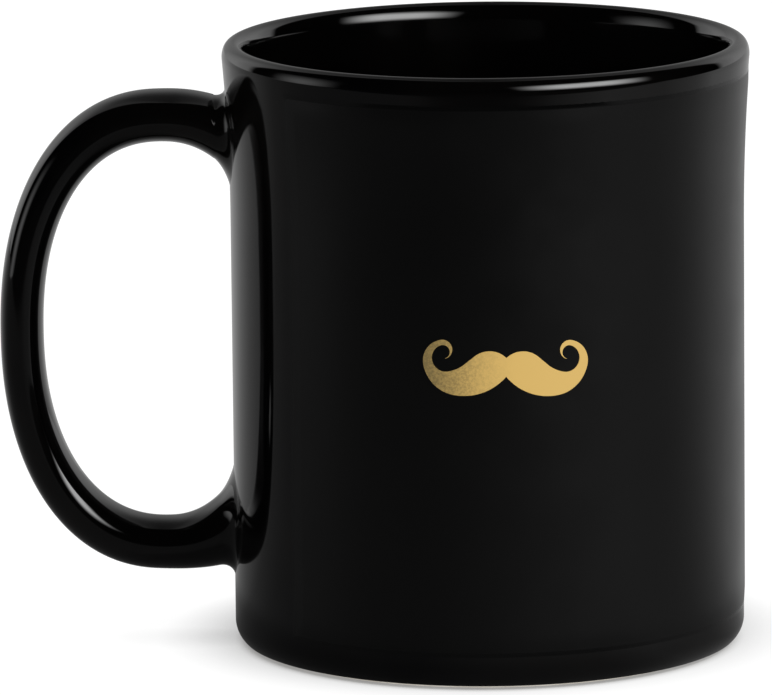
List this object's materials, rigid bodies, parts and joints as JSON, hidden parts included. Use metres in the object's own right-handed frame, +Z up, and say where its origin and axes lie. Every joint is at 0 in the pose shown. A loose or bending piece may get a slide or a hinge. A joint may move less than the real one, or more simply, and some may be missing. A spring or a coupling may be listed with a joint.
{
  "type": "mug",
  "caption": "Straight-walled glazed ceramic mug with a loop handle, a slightly flared rim, a thin printed wrap and a gold curled moustache on its front.",
  "frame": {"origin": "middle of the foot, on the surface that the mug stands on", "axes": "+Z up along the middle of the vessel, -X towards the handle, -Y towards the moustache"},
  "size_m": [0.1185, 0.083, 0.096],
  "materials": {
    "fired_clay": "bare fired stoneware, seen only on the foot ring",
    "fired_slip": "bare fired joining slip, under the glaze",
    "black_glaze": "high gloss black",
    "black_print": "satin black transfer",
    "gold_print": "gold transfer, mottled like foil on one side"
  },
  "bodies": {
    "root": {"clay_body": "fired_clay", "handle": "fired_clay", "upper_slip_joint": "fired_slip", "lower_slip_joint": "fired_slip", "outside_glaze": "black_glaze", "inside_glaze": "black_glaze", "underside_glaze": "black_glaze", "handle_glaze": "black_glaze", "printed_wrap": "black_print", "gold_moustache": "gold_print"}
  },
  "joints": []
}
